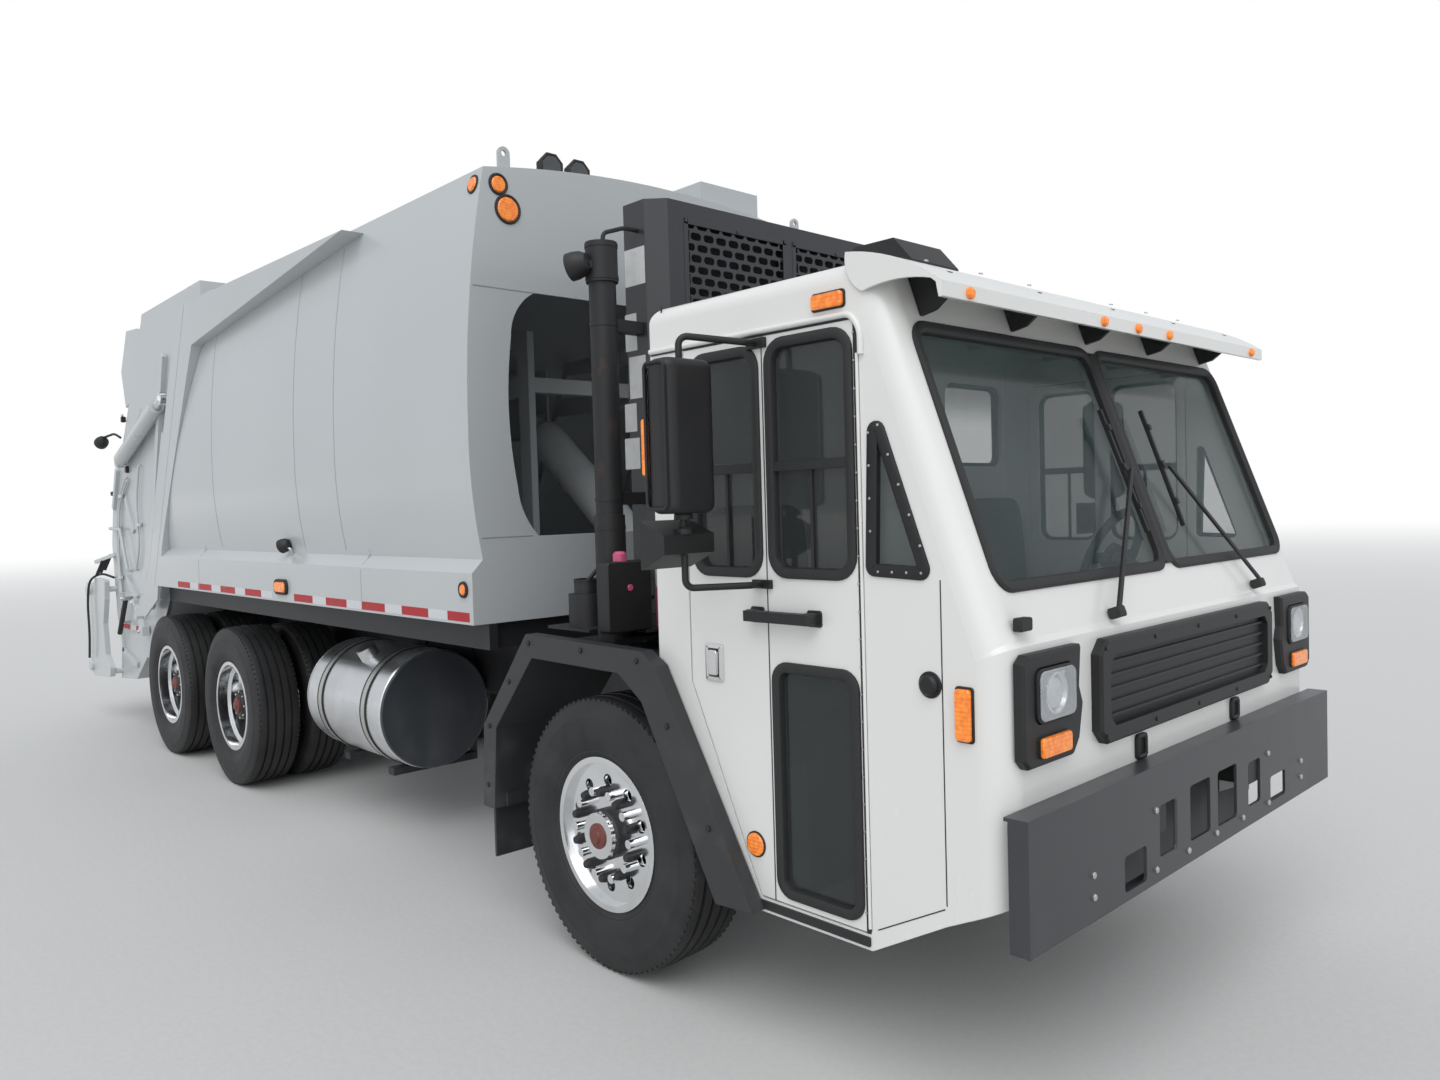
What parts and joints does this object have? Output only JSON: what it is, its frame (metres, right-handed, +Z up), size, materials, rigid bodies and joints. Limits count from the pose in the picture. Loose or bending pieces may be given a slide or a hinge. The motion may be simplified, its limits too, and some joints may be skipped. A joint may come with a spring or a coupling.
{
  "type": "garbage truck",
  "caption": "Rear-loading refuse truck with a low-entry cab over the front axle, tandem rear axles, ejector body and a lifting tailgate with a packing blade",
  "frame": {"origin": "centre of the footprint on the ground, midway between the bumper's face and the lifter's rear face", "axes": "+X forward to the bumper, +Y to the truck's left, +Z up"},
  "size_m": [9.774, 3.01, 3.5398],
  "materials": {
    "cab_paint": "gloss white paint",
    "body_paint": "satin bluish grey-white paint",
    "bumper_paint": "satin charcoal paint",
    "frame_paint": "black chassis paint",
    "engine_iron": "cast",
    "aluminium": "polished",
    "tyre": "matt rubber",
    "glass": "tinted",
    "black_plastic": "textured black",
    "dark_trim": "moulded dark grey",
    "seat_fabric": "woven",
    "lamp_housing": "moulded black",
    "bottle_plastic": "translucent, tinted by pink coolant",
    "exhaust_steel": "heat-blackened steel",
    "rod_chrome": "ground and chromed",
    "cylinder_paint": "paint over steel",
    "worn_steel": "paint worn to steel"
  },
  "bodies": {
    "chassis": {"frame_rails": "frame_paint", "bumper": "bumper_paint", "engine_block": "engine_iron", "front_axle": "frame_paint", "rear_axles": "frame_paint", "fuel_tank": "aluminium", "cab_shell": "cab_paint", "cab_glass": "glass", "dashboard": "dark_trim", "seat_boxes": "dark_trim", "seats": "seat_fabric", "sun_visor": "cab_paint", "grille": "black_plastic", "headlamps": "lamp_housing", "wipers": "black_plastic", "roof_box": "black_plastic", "fenders": "black_plastic", "cooling_module": "black_plastic", "exhaust_stack": "exhaust_steel", "service_tray": "frame_paint", "coolant_bottle": "bottle_plastic", "body_shell": "body_paint", "body_sills": "body_paint", "rear_bolster": "body_paint"},
    "steering_knuckle_left": {"knuckle_left": "frame_paint"},
    "steering_knuckle_right": {"knuckle_right": "frame_paint"},
    "steering_tie_rod": {"tie_rod": "frame_paint"},
    "wheel_front_left": {"front_wheel_left": "aluminium", "front_tyre_left": "tyre"},
    "wheel_front_right": {"front_wheel_right": "aluminium", "front_tyre_right": "tyre"},
    "ejector": {"ejector_panel": "worn_steel"},
    "ejector_cylinder": {"ejector_barrel": "cylinder_paint"},
    "ejector_cylinder_stage_1": {"ejector_stage_1": "rod_chrome"},
    "ejector_cylinder_stage_2": {"ejector_stage_2": "rod_chrome"},
    "ejector_cylinder_stage_3": {"ejector_stage_3": "rod_chrome"},
    "tailgate": {"tailgate_shell": "body_paint", "container_arms": "cylinder_paint"},
    "lift_cylinders": {"lift_barrels": "cylinder_paint"},
    "lift_cylinder_rods": {"lift_rods": "rod_chrome"},
    "packing_carriage": {"carriage": "worn_steel"},
    "blade": {"packing_blade": "worn_steel"},
    "carriage_cylinders": {"carriage_barrels": "cylinder_paint"},
    "carriage_cylinder_rods": {"carriage_rods": "rod_chrome"},
    "container_lifter": {"lifter": "worn_steel"},
    "wheel_rear_front_left": {"rear_wheel_front_left": "aluminium", "rear_tyres_front_left": "tyre"},
    "wheel_rear_rear_left": {"rear_wheel_rear_left": "aluminium", "rear_tyres_rear_left": "tyre"},
    "cab_door_left": {"door_left": "cab_paint", "door_glass_left": "glass", "mirror_left": "black_plastic"},
    "wheel_rear_front_right": {"rear_wheel_front_right": "aluminium", "rear_tyres_front_right": "tyre"},
    "wheel_rear_rear_right": {"rear_wheel_rear_right": "aluminium", "rear_tyres_rear_right": "tyre"},
    "cab_door_right": {"door_right": "cab_paint", "door_glass_right": "glass", "mirror_right": "black_plastic"}
  },
  "joints": [
    {"name": "steer_left", "type": "hinge", "parent": "chassis", "child": "steering_knuckle_left", "pos_m": [3.063, 0.905, 0.531], "axis": [0, 0, 1], "range_deg": [-35, 35]},
    {"name": "steer_right", "type": "hinge", "parent": "chassis", "child": "steering_knuckle_right", "pos_m": [3.063, -0.905, 0.531], "axis": [0, 0, 1], "range_deg": [-35, 35]},
    {"name": "tie_rod_swing", "type": "hinge", "parent": "steering_knuckle_left", "child": "steering_tie_rod", "pos_m": [2.828, 0.81, 0.408], "axis": [0, 0, 1], "range_deg": [-35, 35]},
    {"name": "front_wheel_left_spin", "type": "hinge", "parent": "steering_knuckle_left", "child": "wheel_front_left", "pos_m": [3.063, 1.052, 0.531], "axis": [0, 1, 0], "continuous": true},
    {"name": "rear_wheel_front_left_spin", "type": "hinge", "parent": "chassis", "child": "wheel_rear_front_left", "pos_m": [-1.047, 1.069, 0.531], "axis": [0, 1, 0], "continuous": true},
    {"name": "rear_wheel_rear_left_spin", "type": "hinge", "parent": "chassis", "child": "wheel_rear_rear_left", "pos_m": [-2.417, 1.069, 0.531], "axis": [0, 1, 0], "continuous": true},
    {"name": "door_left_swing", "type": "hinge", "parent": "chassis", "child": "cab_door_left", "pos_m": [4.3477, 1.163, 1.3], "axis": [0, 0, -1], "range_deg": [0, 80]},
    {"name": "front_wheel_right_spin", "type": "hinge", "parent": "steering_knuckle_right", "child": "wheel_front_right", "pos_m": [3.063, -1.052, 0.531], "axis": [0, 1, 0], "continuous": true},
    {"name": "rear_wheel_front_right_spin", "type": "hinge", "parent": "chassis", "child": "wheel_rear_front_right", "pos_m": [-1.047, -1.069, 0.531], "axis": [0, 1, 0], "continuous": true},
    {"name": "rear_wheel_rear_right_spin", "type": "hinge", "parent": "chassis", "child": "wheel_rear_rear_right", "pos_m": [-2.417, -1.069, 0.531], "axis": [0, 1, 0], "continuous": true},
    {"name": "door_right_swing", "type": "hinge", "parent": "chassis", "child": "cab_door_right", "pos_m": [4.3477, -1.163, 1.3], "axis": [0, 0, 1], "range_deg": [0, 80]},
    {"name": "ejector_slide", "type": "slide", "parent": "chassis", "child": "ejector", "axis": [-1, 0, 0], "range_m": [0, 2.4]},
    {"name": "ejector_cylinder_tilt", "type": "hinge", "parent": "chassis", "child": "ejector_cylinder", "pos_m": [2.013, 0, 1.44], "axis": [0, -1, 0], "range_deg": [0, 27]},
    {"name": "ejector_stage_1_slide", "type": "slide", "parent": "ejector_cylinder", "child": "ejector_cylinder_stage_1", "axis": [-0.7856, 0, 0.6187], "range_m": [0, 0.716]},
    {"name": "ejector_stage_2_slide", "type": "slide", "parent": "ejector_cylinder_stage_1", "child": "ejector_cylinder_stage_2", "axis": [-0.7856, 0, 0.6187], "range_m": [0, 0.716]},
    {"name": "ejector_stage_3_slide", "type": "slide", "parent": "ejector_cylinder_stage_2", "child": "ejector_cylinder_stage_3", "axis": [-0.7856, 0, 0.6187], "range_m": [0, 0.716]},
    {"name": "tailgate_raise", "type": "hinge", "parent": "chassis", "child": "tailgate", "pos_m": [-1.507, 0, 3.44], "axis": [0, 1, 0], "range_deg": [0, 80]},
    {"name": "lift_cylinder_tilt", "type": "hinge", "parent": "chassis", "child": "lift_cylinders", "pos_m": [-2.987, 0, 1.11], "axis": [0, -1, 0], "range_deg": [0, 18.7]},
    {"name": "lift_rod_slide", "type": "slide", "parent": "lift_cylinders", "child": "lift_cylinder_rods", "axis": [0.4517, 0, 0.8922], "range_m": [0, 1.053]},
    {"name": "carriage_slide", "type": "slide", "parent": "tailgate", "child": "packing_carriage", "axis": [0.6293, 0, 0.7771], "range_m": [0, 0.45]},
    {"name": "carriage_cylinder_tilt", "type": "hinge", "parent": "tailgate", "child": "carriage_cylinders", "pos_m": [-3.667, 0, 2.3], "axis": [0, -1, 0], "range_deg": [0, 8.7]},
    {"name": "carriage_rod_slide", "type": "slide", "parent": "carriage_cylinders", "child": "carriage_cylinder_rods", "axis": [0.9511, 0, 0.309], "range_m": [0, 0.395]},
    {"name": "blade_swing", "type": "hinge", "parent": "packing_carriage", "child": "blade", "pos_m": [-3.437, 0, 1.42], "axis": [0, 1, 0], "range_deg": [0, 95]},
    {"name": "lifter_raise", "type": "hinge", "parent": "tailgate", "child": "container_lifter", "pos_m": [-4.357, 0, 1.005], "axis": [0, 1, 0], "range_deg": [0, 90]}
  ],
  "couplings": [
    {"joint": "steer_right", "follows": "steer_left", "ratio": 1},
    {"joint": "tie_rod_swing", "follows": "steer_left", "ratio": -1},
    {"joint": "ejector_cylinder_tilt", "follows": "ejector_slide", "rad_per_m": 0.19433},
    {"joint": "ejector_stage_1_slide", "follows": "ejector_slide", "ratio": 0.29667},
    {"joint": "ejector_stage_2_slide", "follows": "ejector_slide", "ratio": 0.29667},
    {"joint": "ejector_stage_3_slide", "follows": "ejector_slide", "ratio": 0.29667},
    {"joint": "lift_cylinder_tilt", "follows": "tailgate_raise", "ratio": 0.23039},
    {"joint": "lift_rod_slide", "follows": "tailgate_raise", "m_per_rad": 0.75117},
    {"joint": "carriage_cylinder_tilt", "follows": "carriage_slide", "rad_per_m": 0.32594},
    {"joint": "carriage_rod_slide", "follows": "carriage_slide", "ratio": 0.86843}
  ]
}
